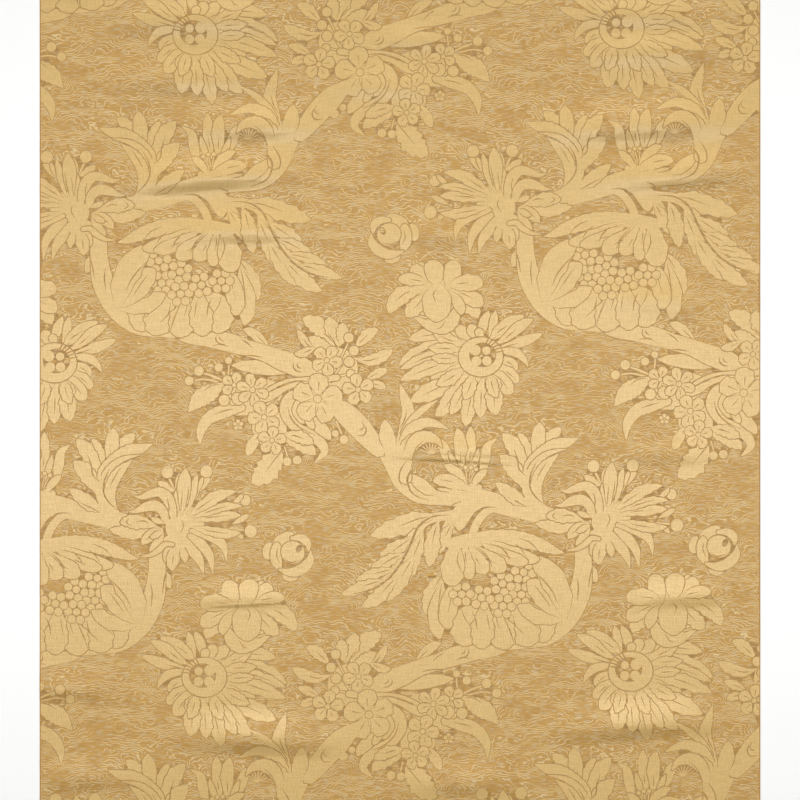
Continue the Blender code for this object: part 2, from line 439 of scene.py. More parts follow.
def pomegranate():
    petal(125, -40, 142, -74, 14, 0.08, 0.6, 0.7, vein=(0.1, 0.45), teeth=0.9)
    petals([(128, -44, 131, -94, 15, 0.06, 0.62, 0.7), (118, -46, 124, -86, 15, 0.05, 0.6, 0.5)],
        vein=(0.1, 0.7))
    petals([(66, -64, 45, -97, 24, -0.08), (74, -66, 60, -101, 25, -0.06),
        (104, -60, 110, -100, 24, 0.04), (86, -66, 78, -103, 22, 0.02), (94, -62, 98, -102, 19)], 0.66,
        0.56, teeth=0.7)
    veins(((72, -75), (70, -84), (63, -91)), ((80, -76), (75, -87, 1.2), (71, -99)),
        ((86, -74), (85, -79, 0.8), (83, -86)), ((93, -74), (92, -80, 0.9), (91, -87)),
        ((105, -72), (102, -79, 1.2), (101, -87)), ((113, -70), (111, -77, 0.8), (107, -83)),
        ((60, -76), (56, -82, 0.8), (51, -87)))
    ball(88, -52, 33, 16, -8, gap=0, satin=False, points=24)
    for x, y, turn in ((63, -41, 10), (65, -59, 0), (80, -50, 20), (80, -68, 5), (97, -61, 12),
            (113, -58, 0)):
        berries(x, y, 3.4, turn)
    petals([(29, -79, 68, -67, 15, -0.08, 0.55, 0.8), (28, -79, 60, -48, 19, 0, 0.6, 0.7),
        (30, -80, 56, -29, 20, 0.12, 0.55, 0.6)])
    veins(((54, -41), (46, -49, 1.1), (40, -57), (36, -66)), ((54, -52), (48, -60), (42, -69)),
        ((60, -62), (55, -69, 1), (48, -72)))
    # the crown droops over the top
    band((106, -15, 9), (88, -13, 13), (68, -14, 13), (50, -19, 11), (38, -24, 6), (30, -26), teeth=0.5)
    petals([(92, -14, 50, -31, 11, 0.06), (98, -16, 59, -33, 11, 0.06), (102, -16, 77, -39, 15, 0.1),
        (106, -17, 91, -40, 14, 0.1)], 0.66, 0.55, vein=(0.45, 0.7))
    petal(109, -18, 106, -46, 12, 0.05, 0.62, 0.5, vein=(0.2, 0.55))
    petal(118, -16, 119, -51, 19, 0.03, 0.62, 0.45)
    band((92, -12, 9), (108, -15, 11), (122, -17, 8), gap=0)
    veins(((115, -24), (116, -32), (112, -42)), ((66, -13.5), (57, -17.5, 0.9), (50, -25)),
        ((70, -18), (65, -22), (61, -28)), ((83, -19), (77, -25, 1.2), (74, -31)),
        ((100, -20), (92, -28, 1.1), (88, -37)))


def lowerBranch():
    petal(170, -132, 120, -126, 12, -0.02, 0.5, 0.85)
    petals([(152, -114, 130, -97, 8, -0.08), (96, -104, 60, -100, 8, -0.05)], 0.6, vein=(0.2, 0.6))
    band((75, -103), (86, -104, 8), (100, -105, 11), (116, -107, 15), (132, -112, 13), (148, -117, 13),
        (162, -123, 16), (178, -129, 16), (193, -136, 4))
    veins(((105, -110), (112, -109), (118, -111)), ((128, -105), (133, -108), (137, -112)),
        ((128, -118), (138, -118.5), (146, -120)))
    for x, y in ((111, -104), (173, -127)):  # knots in the wood
        veins(((x - 2.5, y + 2.5), (x - 3, y - 1.5), (x, y - 4.5), (x + 4, y - 5)),
            ((x, y + 2), (x + 0.5, y - 1), (x + 3.5, y - 2.5)))


def flowerSpray():
    for x, y, wide, tall, turn in ((136, -152, 24, 13, 20), (150, -176, 14, 17, 10),
            (206, -130, 16, 17, 0), (180, -160, 19, 14, 0)):
        ball(x, y, wide, tall, turn, gap=0, points=16)
    petals([(205, -114, 178, -89, 15, -0.12), (205, -113, 183, -104, 11, 0.12),
        (207, -113, 199.5, -88, 12, 0.02), (208, -112, 210, -93, 10, -0.04)], 0.62, 0.7, teeth=1)
    veins(((206, -117), (203, -108), (198, -101)))
    petals([(220, -113, 239, -99, 10, 0.08), (219, -121, 250, -115, 10, -0.16),
        (228, -140, 246, -131, 7.5, 0.05), (189, -114, 174, -98, 6.5, 0.12),
        (188, -112, 171, -117, 7, 0.1), (230, -143, 244, -146, 7, 0.1)], 0.58, 0.75, vein=(0.2, 0.6),
        teeth=0.8)
    for stem in (((205, -130, 1.6), (210, -118, 1.4), (215, -108, 1.2)),
            ((203, -135, 1.6), (211, -124, 1.4), (219, -117, 1.2)),
            ((200, -140, 1.8), (207, -136, 1.5), (216, -134, 1.2)),
            ((116, -140, 1.6), (118, -130, 1.3), (118, -121, 1.2)),
            ((113, -138, 1.6), (104, -134, 1.8), (94, -131, 1.2)),
            ((112, -140, 1.4), (98, -137, 1.4), (86, -139, 1.2)),
            ((204, -172, 1.3), (207, -180, 1.3), (210, -186, 1.2)),
            ((162, -192, 1.2), (164, -199, 1.2), (164, -204, 1.2))):
        band(*stem, gap=0.6)
    for x, y, radius in ((215, -105, 3.9), (219, -115.5, 4), (215, -124.5, 4.2), (216, -134, 3.3),
            (118, -122, 2.8), (110, -127.5, 3.4), (94, -130, 4), (86, -138, 3.7), (210, -187, 3.7),
            (203, -182, 2.8), (164, -204, 3.5), (172, -203, 3.6)):
        ball(x, y, radius, points=10)
    band((113, -141, 3), (104, -147, 13), (94, -153, 14), (85, -163, 1), teeth=0.7)
    veins(((98, -146), (104, -142, 0.9), (111, -141)))
    band((128, -160, 6), (114, -163, 11), (102, -168, 10), (95, -178, 7.5), (94, -190), teeth=0.4)
    veins(((121, -161), (114, -162.5), (106, -165)))
    band((205, -137, 5), (185, -139, 6), (165, -142, 8), (150, -150, 10), (140, -156, 3))
    veins(((148, -149, 0.4), (158, -144, 1.6), (172, -139.5, 1.2), (184, -140)),
        ((152, -158), (156, -153, 0.9), (162, -148)))
    band((177, -146, 5), (166, -154, 9), (163.5, -165, 9), (171, -176, 8), (182, -182, 8), (191, -189, 8),
        (194, -197, 6), (186, -205))
    veins(((165, -160), (168, -170, 1.1), (176, -178), (187, -183)))
    petals([(176, -168, 199, -187, 10, 0.1), (178, -166, 186, -178, 6)], sharp=0.6)
    roundFlower(197, -123, 12.5, turn=60)
    roundFlower(222, -147, 13, turn=100)
    roundFlower(122, -142, 10.5, turn=70)
    petal(124, -158, 118, -154, 4, sharp=0.5)
    ball(114, -154, 4.4)
    ball(125, -153, 4.6, 5.2, 30)
    roundFlower(137, -146, 13.5, 6, 40, wide=0.85)
    roundFlower(125, -174, 4.4, 5, 90)
    roundFlower(146, -168, 13.5, turn=40)
    petal(146, -180, 132, -199, 8.5, -0.1, 0.6, vein=(0.1, 0.4))
    petal(160, -196, 135, -221, 20, 0.04, 0.5, 0.7, vein=(0.02, 0.6), teeth=1.2)
    petals([(157, -185, 187, -199, 12, 0.1), (159, -183, 185, -190, 10, 0.1)], 0.6, 0.7, vein=(0.3, 0.7),
        teeth=1)
    roundFlower(152, -187, 11.5, turn=10)
    roundFlower(189, -154, 20.5, turn=84, wide=0.95, heart=0.15, sharp=0.68)


def sunflower():
    x, y = -22, -122
    ball(-33, -132, 32, 23, 35, gap=0, points=22)
    petals([(x - 12, y + 13, -80, -107, 12, -0.1), (x - 13, y + 7, -88, -128, 13, -0.12),
        (x - 14, y + 3, -87, -131, 9, -0.08), (x - 13, y - 2, -87, -140, 12, -0.04)], 0.55, 0.72,
        vein=(0.4, 0.8), teeth=0.8)
    petals([(x - 12, y - 8, -79, -157, 15, 0.05), (x - 9, y - 11, -59, -169, 14, 0.03),
        (x - 6, y - 13, -47, -168, 11), (x - 3, y - 14, -35, -178, 12, -0.02),
        (x + 2, y - 14, -23, -171, 12, -0.02), (x + 6, y - 14, -10, -169, 14, 0.03)], 0.62, 0.75,
        vein=(0.4, 0.8), teeth=0.7)
    petals([(-19, -110, -15, -85, 8, 0.12), (-16, -110, -9.5, -85, 7, -0.03)], 0.6, 0.8)
    petals([(-16, -112, 13, -89, 12, 0.06, 0.6, 0.8), (-13, -113, 21, -92, 9, 0, 0.62, 0.8)],
        vein=(0.3, 0.6))
    petal(-12, -116, 28, -104, 8.5, -0.03, 0.62, 0.8, vein=(0.2, 0.5))
    petal(-10, -118, 16, -131, 7, 0.22, 0.5, 0.9)
    petals([(-10, -124, 7, -133, 9, 0.12), (-12, -128, 8, -143, 10, 0.05), (-13, -131, 3, -152, 12),
        (-17, -135, -9, -150, 13)], 0.62, 0.55, vein=(0.45, 0.8))
    petals([(-29, -109, -41, -97, 10), (-25, -108, -31, -96, 9), (-21, -108, -24, -99, 7)], 0.62, 0.6)
    petals([(-34, -112, -60, -102, 10, 0.04), (-36, -118, -64, -114, 9, -0.04), (-37, -124, -62, -122, 8),
        (-35, -130, -58, -144, 11, 0.05), (-28, -134, -36, -156, 11, 0.04),
        (-16, -134, -9, -155, 10, -0.04)], 0.56, 0.85, vein=(0.35, 0.8), teeth=0.8)
    ball(x, y, 17.8, 15.8, gap=0.9, points=26)
    ball(x + 1.5, y + 1.5, 11, 10, gap=0, satin=False, points=18)
    for i in range(6):  # the far side of the heart opens into fine rays
        c, s = heading(-2 + 13 * i)
        start, middle = (x + 7 * c, y + 2 + 7 * s, 1), (x + 13 * c, y + 4 + 11 * s, 1.1)
        veins((start, middle, (x + 19 * c, y + 5 + 14 * s)))
    for dx, dy, radius in ((-4.5, 5.5, 4.5), (4.5, 5, 3.4), (-3.6, -3.4, 4.1), (4.8, -3.4, 3.9)):
        ball(x + dx, y + dy, radius, gap=0, points=11)


def blossom():
    # the leaves that hold it, then the petals behind and at the sides
    petals([(-47, -88, -39.5, -75, 8, 0.1), (-66, -90, -74, -80, 8, -0.1)], sharp=0.7, teeth=0.8)
    band((-41, -82, 3), (-44, -91, 11), (-51, -97, 12), (-61, -96, 10), (-70, -91, 6), (-78, -87),
        teeth=0.3)
    veins(((-50, -92), (-53.5, -97.5), (-57, -99)), ((-61, -89), (-66, -91), (-71, -89)))
    ball(-57, -66, 20, 10, gap=0, points=18)
    petals([(-48, -68, -43, -44, 14, -0.04), (-66, -66, -69, -45, 8, 0.05),
        (-64, -64, -78, -51, 13, -0.12), (-57, -66, -58.5, -43.5, 15.5, 0.02, 0.66, 0.42)], 0.64, 0.45)
    petal(-48, -68, -24, -91, 15, 0.1, 0.6, 0.75, vein=(0.3, 0.75), teeth=0.9)
    petal(-47, -67, -20, -81, 13, 0.06, 0.64, 0.5, vein=(0.3, 0.7), teeth=0.5)
    petal(-48, -65, -19.5, -64, 14, 0.08, 0.62, 0.5, vein=(0.25, 0.6), teeth=0.5)
    petal(-47, -69, -37, -88, 9, 0.1, 0.6, 0.6)
    petal(-64, -67, -82, -88.5, 13, 0.06, 0.62, 0.75, vein=(0.3, 0.7), teeth=0.8)
    petal(-65, -65, -95, -86, 14, -0.16, 0.6, 0.65, vein=(0.35, 0.75), teeth=0.7)
    petal(-64, -62, -87.5, -59, 10, -0.06, 0.6, 0.6, vein=(0.2, 0.6))
    petal(-56.5, -62, -57, -93.5, 23.5, 0, 0.52, 0.6, teeth=0.2)
    veins(((-56.5, -67), (-59.5, -71, 1.1), (-58, -77)))


def bud():
    petal(-86, -40, -98, -43.5, 7, 0.05, 0.5, 0.6)
    ball(-75, -21, 4.8, 7.2, 12, points=14)
    petal(-80, -31, -96, -7.5, 13, -0.16, 0.6, 0.6, teeth=0.2)
    band((-94, -11, 3), (-101.5, -11, 6), (-106.5, -15, 6), (-107.5, -22, 1))
    petal(-85, -37, -82, -14, 10, -0.1, 0.55, 0.55)
    veins(((-84, -31), (-81.5, -25, 0.9), (-82.5, -19)))
    band((-109, -21), (-108, -29.5, 7), (-101, -36.5, 8.5), (-92, -38.5, 6.5), (-83, -36, 1.5),
        teeth=0.2)
    ball(-94.5, -22.5, 9.6, 9, 20, points=16)
    ball(-99.6, -19.5, 2.4, 3.6, 30, gap=0, satin=False, points=10)
    veins(((-88, -28), (-93, -30.5), (-100, -29)))


for motif in (sunflower, blossom, bud, lowerBranch, flowerSpray, crescentStem, upperBranch,
              palmette, tulip, trunkTop, featherLeaf, pomegranate, starFlower):
    motif()
print(f"Pattern: {len(shapes)} shapes in a cluster")


# From here the drawing is woven into the sheet: its outlines become edges of the sheet's own net.
def spotsInside(outline, spots):
    ring = np.array(outline)
    near = np.flatnonzero(((spots > ring.min(0)) & (spots < ring.max(0))).all(1))
    x, y = spots[near].T
    turns = np.zeros(len(near), int)
    for (ax, ay), (bx, by) in zip(ring, np.roll(ring, -1, 0)):
        side = (bx - ax) * (y - ay) - (by - ay) * (x - ax)
        turns += (ay <= y) & (by > y) & (side > 0)
        turns -= (ay > y) & (by <= y) & (side < 0)
    return near[turns != 0]


def triangulated(points, edges):
    spots = [Vector(point) for point in points]
    corners, _, faces, *_ = delaunay_2d_cdt(spots, edges, [], 0, cloth["weld"])
    return np.array([tuple(corner) for corner in corners]), np.array(faces)


def sides(faces):
    return np.concatenate([faces[:, [0, 1]], faces[:, [1, 2]], faces[:, [2, 0]]])


def rims(faces):
    # the edges that only one of these triangles has, and so their outline
    found, count = np.unique(np.sort(sides(faces), 1), axis=0, return_counts=True)
    return found[count == 1]


def chains(edges):
    # runs of edges from one meeting of lines to the next, or all round
    beside = {}
    for a, b in edges:
        beside.setdefault(a, set()).add(b)
        beside.setdefault(b, set()).add(a)
    meetings = [a for a in sorted(beside) if len(beside[a]) != 2]
    found = []
    for start in meetings + sorted(beside):
        while beside[start]:
            run = [start]
            while beside[run[-1]] and (len(run) == 1 or run[-1] not in meetings and run[-1] != start):
                after = min(beside[run[-1]])
                beside[run[-1]].discard(after)
                beside[after].discard(run[-1])
                run.append(after)
            found.append(run)
    return found


def simplified(run, places, least):
    # the run without the points that hardly bend it
    kept, spans = {0, len(run) - 1}, [(0, len(run) - 1)]
    if run[0] == run[-1]:
        far = int(np.argmax(np.linalg.norm(places[run] - places[run[0]], axis=1)))
        kept.add(far)
        spans = [(0, far), (far, len(run) - 1)]
    while spans:
        a, b = spans.pop()
        if b - a < 2:
            continue
        start, way = places[run[a]], places[run[b]] - places[run[a]]
        off = places[run[a + 1:b]] - start
        away = np.abs(off[:, 0] * way[1] - off[:, 1] * way[0]) / max(np.linalg.norm(way), 1e-6)
        if away.max() > least:
            far = a + 1 + int(np.argmax(away))
            kept.add(far)
            spans += [(a, far), (far, b)]
    return [run[i] for i in sorted(kept)]


def area(run, places):
    x, y = places[run].T
    return abs((x * np.roll(y, -1) - y * np.roll(x, -1)).sum()) / 2


def clusterOutlines():
    # where satin meets ground in one cluster, as pairs of end points
    points, edges = [], []
    for outline, _ in shapes:
        start, count = len(points), len(outline)
        points += outline
        edges += [(start + i, start + (i + 1) % count) for i in range(count)]
    places, faces = triangulated(points, edges)
    middles = places[faces].mean(1)
    satin = np.zeros(len(faces), bool)
    for outline, isSatin in shapes:
        satin[spotsInside(outline, middles)] = isSatin
    ends = []
    for run in chains(rims(faces[satin]).tolist()):
        if run[0] == run[-1] and area(run, places) < cloth["leastIsland"]:
            continue
        run = simplified(run, places, cloth["leastBend"])
        ends += [(places[a], places[b]) for a, b in zip(run, run[1:])]
    return np.array(ends)


def spotsWithin(ends, spots):
    # which spots lie inside, by counting the outlines to the right of each
    order = np.argsort(spots[:, 1])
    x, y = spots[order].T
    odd = np.zeros(len(spots), bool)
    for a, b in ends:
        (ax, ay), (bx, by) = (a, b) if a[1] < b[1] else (b, a)
        first, last = np.searchsorted(y, (ay, by))
        if last > first:
            odd[first:last] ^= x[first:last] < ax + (y[first:last] - ay) * (bx - ax) / (by - ay)
    out = np.zeros(len(spots), bool)
    out[order] = odd
    return out


def clusterPlaces():
    # where a copy of the cluster may meet the cloth, and 1 for an upright one or -1 for a mirrored one
    for star, side in ((pattern["star"], 1), (pattern["mirroredStar"], -1)):
        for i in range(-2, 3):  # as many as reach past the cloth on every side
            for j in range(-1, 2):
                shift = i * np.array(pattern["across"]) + j * np.array(pattern["along"])
                yield np.array(star) + shift, side


tiltCos, tiltSin = heading(pattern["tilt"])
tiltTurn = np.array(((tiltCos, tiltSin), (-tiltSin, tiltCos)))
low, high = (np.array(corner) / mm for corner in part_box("cloth"))
outlines = clusterOutlines()
print(f"Weaving: {len(outlines)} outline edges in a cluster")

netPoints, netEdges, copies = [], [], []
for star, side in clusterPlaces():
    ends = (outlines * (side, 1)) @ tiltTurn + star
    meets = (ends.max(1) > low[:2]).all(1) & (ends.min(1) < high[:2]).all(1)
    if not meets.any():
        continue
    copies.append((star, side))
    start = len(netPoints)
    netPoints += ends[meets].reshape(-1, 2).tolist()
    netEdges += [(i, i + 1) for i in range(start, len(netPoints), 2)]
for inset in (0, cloth["cutEdge"]):  # the cut edges, and where the strip of bare thread ends and painted edge shade begins
    start = len(netPoints)
    x0, y0, x1, y1 = low[0] + inset, low[1] + inset, high[0] - inset, high[1] - inset
    netPoints += [(x0, y0), (x1, y0), (x1, y1), (x0, y1)]
    netEdges += [(start + i, start + (i + 1) % 4) for i in range(4)]
netStep = cloth["netStep"]
before, after = cloth["margin"]
first, last = low + before, high - after
columns = np.arange(first[0], last[0], netStep)
for i, y in enumerate(np.arange(first[1], last[1], netStep * 0.87)):  # nearly even triangles
    netPoints += [(x + netStep / 2 * (i % 2), y) for x in columns if x + before < last[0]]
for row in creases.values():  # rows of close points along each sharp crease
    crease = dict(zip(foldNames, row))
    c, s = heading(crease["slant"])
    reach, width = crease["reach"], crease["width"]
    near, far = cloth["creaseSpan"]
    for across in np.arange(-width * near, width * far, cloth["creaseStep"]):
        for along in np.arange(-reach, reach, cloth["creaseAlong"]):
            bent = across - crease["bow"] * (along / reach) ** 2
            netPoints.append((crease["x"] + along * c - bent * s, crease["y"] + along * s + bent * c))

places, faces = triangulated(netPoints, netEdges)
middles = places[faces].mean(1)
faces = faces[((middles > low[:2]) & (middles < high[:2])).all(1)]
middles = places[faces].mean(1)
satin = np.zeros(len(faces), bool)
for star, side in copies:
    satin |= spotsWithin(outlines, ((middles - star) @ tiltTurn.T) * (side, 1))
used = np.unique(faces)
faces = np.searchsorted(used, faces)
places = places[used]
print(f"Weaving: {len(faces)} triangles on the face, {satin.mean():.2f} of them satin")


def unit(rows):
    return rows / np.linalg.norm(rows, axis=1)[:, None]


def makeCloth(materials):
    x, y = places.T
    under = clothLift(x, y)
    count = len(places)
    top = np.column_stack([x, y, under + cloth["thickness"]])
    points = np.concatenate([top, np.column_stack([x, y, under])]) * mm
    single = {tuple(pair) for pair in rims(faces).tolist()}
    rim = [(a, b) for a, b in sides(faces).tolist() if (min(a, b), max(a, b)) in single]
    walls = [(a + count, b + count, b) for a, b in rim] + [(a + count, b, a) for a, b in rim]
    triangles = faces.tolist() + (faces[:, ::-1] + count).tolist() + walls
    mesh = bpy.data.meshes.new("cloth_sheet")
    mesh.from_pydata(points.tolist(), [], triangles)
    for material in materials:
        mesh.materials.append(material)
    # satin on the face is ground on the back, as in any damask, and the cut edges are bare thread with
    # painted edge shade
    inset = cloth["cutEdge"]
    atEdge = ((middles < low[:2] + inset) | (middles > high[:2] - inset)).any(1)
    facing = np.where(atEdge, 2, np.where(satin, 0, 1))
    backing = np.where(atEdge, 2, np.where(satin, 1, 0))
    worn = np.concatenate([facing, backing, np.full(len(walls), 2)])
    mesh.polygons.foreach_set("material_index", worn.astype(np.int32))
    mesh.shade_smooth()
    # shaded by the true slope of the folds
    step = cloth["slopeStep"]
    slopeX = (clothLift(x + step, y) - clothLift(x - step, y)) / (2 * step)
    slopeY = (clothLift(x, y + step) - clothLift(x, y - step)) / (2 * step)
    upward = unit(np.column_stack([-slopeX, -slopeY, np.ones(count)]))
    a, b = np.array(rim * 2).T
    outward = unit(np.column_stack([y[b] - y[a], x[a] - x[b], np.zeros(len(a))])).repeat(3, axis=0)
    turned = np.concatenate([upward[faces.ravel()], -upward[faces[:, ::-1].ravel()], outward])
    mesh.normals_split_custom_set(turned.tolist())
    # how far each point is from the figure, in mm, which the watered lines follow
    border = np.intersect1d(faces[satin], faces[~satin])
    pairs = rims(faces[satin])
    spots = np.concatenate([places[border], places[pairs].mean(1)])
    tree = KDTree(len(spots))
    for i, spot in enumerate(spots):
        tree.insert((*spot, 0.0), i)
    tree.balance()
    away = [tree.find((*place, 0.0))[2] for place in places]
    mesh.attributes.new("toFigure", "FLOAT", "POINT").data.foreach_set("value", away * 2)
    piece = bpy.data.objects.new("damask_sheet", mesh)
    bpy.context.scene.collection.objects.link(piece)
    return piece


def rgb(code):
    # an sRGB hex colour as linear numbers
    parts = (int(code[i:i + 2], 16) / 255 for i in (1, 3, 5))
    return (*(part / 12.92 if part < 0.04045 else ((part + 0.055) / 1.055) ** 2.4 for part in parts), 1.0)


def addNode(tree, kind, inputs=None, operation=None, **settings):
    # an input is a value, a socket, or a node whose first output in use is linked
    node = tree.nodes.new("ShaderNode" + kind)
    if operation:
        settings["operation"] = operation
    for name, value in settings.items():
        setattr(node, name, value)
    for name, value in (inputs or {}).items():
        if isinstance(value, bpy.types.Node):
            value = next(socket for socket in value.outputs if socket.enabled)
        if isinstance(value, bpy.types.NodeSocket):
            tree.links.new(value, node.inputs[name])
        else:
            node.inputs[name].default_value = value
    return node


def newMaterial(name):
    material = bpy.data.materials.new(name)
    material.use_nodes = True
    tree = material.node_tree
    tree.nodes.clear()
    where = addNode(tree, "TexCoord").outputs["Object"]
    inMm = addNode(tree, "VectorMath", {0: where, "Scale": 1 / mm}, "SCALE")
    return material, tree, inMm


def surfaced(material, inputs):
    shader = addNode(material.node_tree, "BsdfPrincipled", inputs)
    addNode(material.node_tree, "OutputMaterial", {"Surface": shader})
    return material


satinLook = {
    "pale": "#D9B675",
    "deep": "#CEAB6A",
    "slub": (12, 1.2),  # mm, length and thickness of the weft's uneven places
    "warp": (1.1, 7),  # mm, the warp floats are a third of this, too fine to show here
    "grain": (1, 1.3),  # mm, drawn as coarse as it needs to show
    "mixed": (1.25, 1.75),  # the sum of those three at which it is all deep, and all pale
    "bump": (0.25, 0.0003),  # strength, and height in metres
    "roughness": 0.34,
    "gloss": 0.72,
    "glossTint": "#FBEFD8",  # the light that comes back off the floats is the silk's own gold
    "sheen": (0.1, 0.4),  # weight and roughness
}


def silkSatin():
    # Silk satin: long warp floats lie side by side, for a smooth pale surface with a soft broad gloss.
    look = satinLook
    material, tree, inMm = newMaterial("silk_satin_weave")
    uneven = 0
    for wide, tall in (look["slub"], look["warp"], look["grain"]):
        at = addNode(tree, "Mapping", {"Vector": inMm, "Scale": (1 / wide, 1 / tall, 1)})
        noise = {"Vector": at, "Scale": 1, "Detail": 1}
        part = addNode(tree, "TexNoise", noise, noise_dimensions="2D")
        uneven = addNode(tree, "Math", {0: part, 1: uneven}, "ADD")
    allDeep, allPale = look["mixed"]
    share = addNode(tree, "MapRange", {0: uneven, 1: allDeep, 2: allPale})
    shades = {0: share, 6: rgb(look["deep"]), 7: rgb(look["pale"])}
    colour = addNode(tree, "Mix", shades, data_type="RGBA")
    strength, height = look["bump"]
    bump = addNode(tree, "Bump", {"Height": uneven, "Strength": strength, "Distance": height})
    return surfaced(material, {
        "Base Color": colour,
        "Normal": bump,
        "Roughness": look["roughness"],
        "Specular IOR Level": look["gloss"],
        "Specular Tint": rgb(look["glossTint"]),
        "Sheen Weight": look["sheen"][0],
        "Sheen Roughness": look["sheen"][1],
    })


groundLook = {
    "base": "#C5994B",
    "deep": "#B78A3E",
    "line": "#E4CA92",
    "grey": "#C7B492",
    "shade": "#946F33",
    "lineSpacing": 2.4,  # mm between the watered lines
    "lineWidth": 0.52,  # mm
    "lineEdge": (1.35, 0.65),  # shares of its half width over which a line fades in
    "lineWidest": 0.27,  # half its width at most, as a share of the spacing
    "lineStrength": 0.7,  # how far a line covers the ground
    "drift": (26, 14, 7.5),  # mm, how large the lines' slow bends are, and how many lines' worth
    "wobble": (7, 3.5, 1.4),  # the same for their small bends
    "seek": 0.4,  # mm between the places where the bends are compared
    "echoReach": 8,  # mm from the figure over which the lines follow it
    "echoLines": 3.8,
    # mm from the figure over which the lines set in, and the higher satin stops shading the ground
    "bareRim": (0.3, 0.9),
    "rimShade": (0.7, 0.25),  # how deep that shade is where it is deepest, and where it is faintest
    # mm, then how rough: gaps in the lines, quiet spots, grey threads, ribs and clouds
    "uneven": {
        "dash": (8, 1.8, 1),
        "quiet": (26, 16, 1),
        "grey": (7, 1.1, 1),
        "rib": (6, 1, 2),  # the weft ribs are finer, and drawn as wide as they need to show
        "cloud": (24, 16, 1),
    },
    # where each of them starts to show, and where it shows in full
    "shows": {
        "dash": (0.30, 0.42),
        "quiet": (0.28, 0.48),
        "grey": (0.52, 0.66),
        "rim": (0.35, 0.6),
        "tone": (0.5, 1),
    },
    "greyStrength": 0.5,
    "bump": (0.35, 0.0003),  # strength, and height in metres
    "roughness": 0.55,
    "gloss": 0.5,
}


